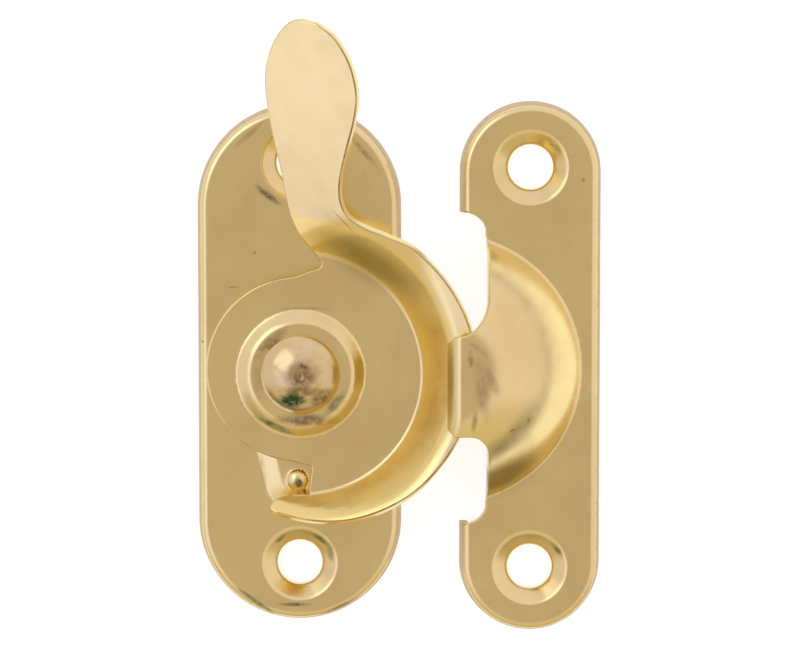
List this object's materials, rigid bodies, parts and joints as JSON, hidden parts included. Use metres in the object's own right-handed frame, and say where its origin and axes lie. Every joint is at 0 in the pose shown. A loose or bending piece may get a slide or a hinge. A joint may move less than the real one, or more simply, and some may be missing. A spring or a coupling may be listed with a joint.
{
  "type": "sash fastener",
  "caption": "Pressed sash fastener: a lever with a spiral cam on a dished base plate draws under the hooked hood of a separate keeper plate.",
  "frame": {"origin": "centre of the base plate's two screw holes, on the mounting face at the back of both plates", "axes": "+X from the base plate to the keeper, +Y along the plates towards the locked lever's tip, +Z out of the sash along the pivot"},
  "size_m": [0.0508, 0.0779, 0.0125],
  "materials": {
    "plate_brass": "bright yellow brass plate on pressed sheet, satin on the flats",
    "lever_brass": "bright yellow brass plate on pressed sheet",
    "rivet_brass": "brass plate, pitted and worn at the dome",
    "spring_steel": "blued spring steel",
    "washer_steel": "plain zinc-plated steel"
  },
  "bodies": {
    "base": {"base_plate": "plate_brass", "pivot_rivet": "rivet_brass", "friction_spring": "spring_steel", "back_washer": "washer_steel"},
    "cam": {"cam_lever": "lever_brass"},
    "keeper": {"keeper": "plate_brass"}
  },
  "joints": [
    {"name": "lever_turn", "type": "hinge", "parent": "base", "child": "cam", "pos_m": [0.00025, -0.0009, 0.0045], "axis": [0, 0, 1], "range_deg": [0, 170]},
    {"name": "keeper_lift", "type": "slide", "parent": "base", "child": "keeper", "axis": [0, 0, 1], "range_m": [0, 0.02]}
  ]
}
